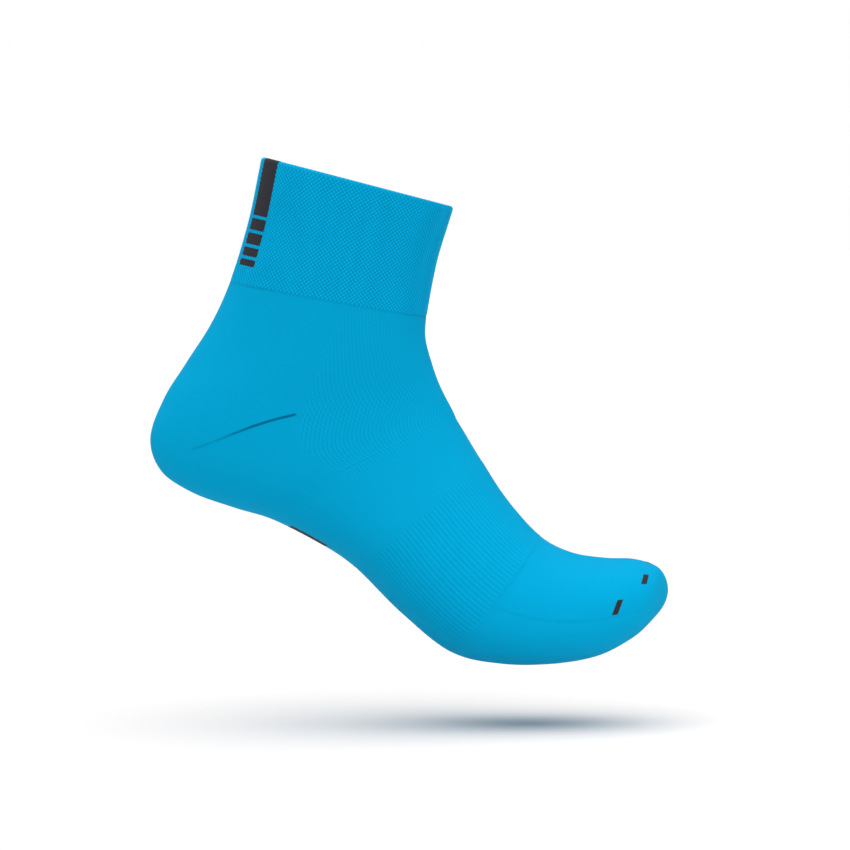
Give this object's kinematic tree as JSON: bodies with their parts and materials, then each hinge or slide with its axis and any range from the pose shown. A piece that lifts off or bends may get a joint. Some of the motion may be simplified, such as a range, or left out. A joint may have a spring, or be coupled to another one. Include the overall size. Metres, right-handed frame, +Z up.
{
  "type": "ankle sock",
  "caption": "Short knitted sports sock with a doubled cuff, heel and toe pockets, mesh panels and an arch band, in the shape it takes on a foot with its heel raised.",
  "frame": {"origin": "middle of the leg opening, on the plane of the cuff's top edge", "axes": "+X level towards the toes, +Y towards the wearer's left, +Z up; the leg leans 15 degrees forward and the toes lie below the heel"},
  "size_m": [0.2462, 0.0974, 0.2406],
  "materials": {
    "jersey": "plain knit, matt, bright cyan-blue polyamide and elastane",
    "mesh": "open mesh and ribbed mesh knit, matt, bright cyan-blue",
    "cuff": "honeycomb tuck stitch, matt, bright cyan-blue",
    "seam": "linked and sewn yarn, matt, cyan-blue",
    "dark_yarn": "plain knit, matt, blue-black yarn",
    "elastic": "covered elastic yarn, pale"
  },
  "bodies": {
    "root": {"cuff_outer_ply": "cuff", "cuff_inner_ply": "jersey", "cuff_elastic_yarn": "elastic", "cuff_closing_course": "seam", "stripe_bar": "dark_yarn", "stripe_dash_1": "dark_yarn", "stripe_dash_2": "dark_yarn", "stripe_dash_3": "dark_yarn", "stripe_dash_4": "dark_yarn", "instep_mesh_panel": "mesh", "ankle_back_panel": "jersey", "heel_pocket": "jersey", "heel_suture_left": "seam", "heel_suture_right": "seam", "sole_panel": "jersey", "arch_band": "jersey", "sole_bar": "dark_yarn", "forefoot_mesh": "mesh", "toe_pocket": "jersey", "toe_linking_seam": "seam", "toe_suture_left": "seam", "toe_suture_right": "seam", "toe_dash_1": "dark_yarn", "toe_dash_2": "dark_yarn", "toe_dash_3": "dark_yarn", "toe_dash_4": "dark_yarn", "toe_dash_5": "dark_yarn"}
  },
  "joints": []
}
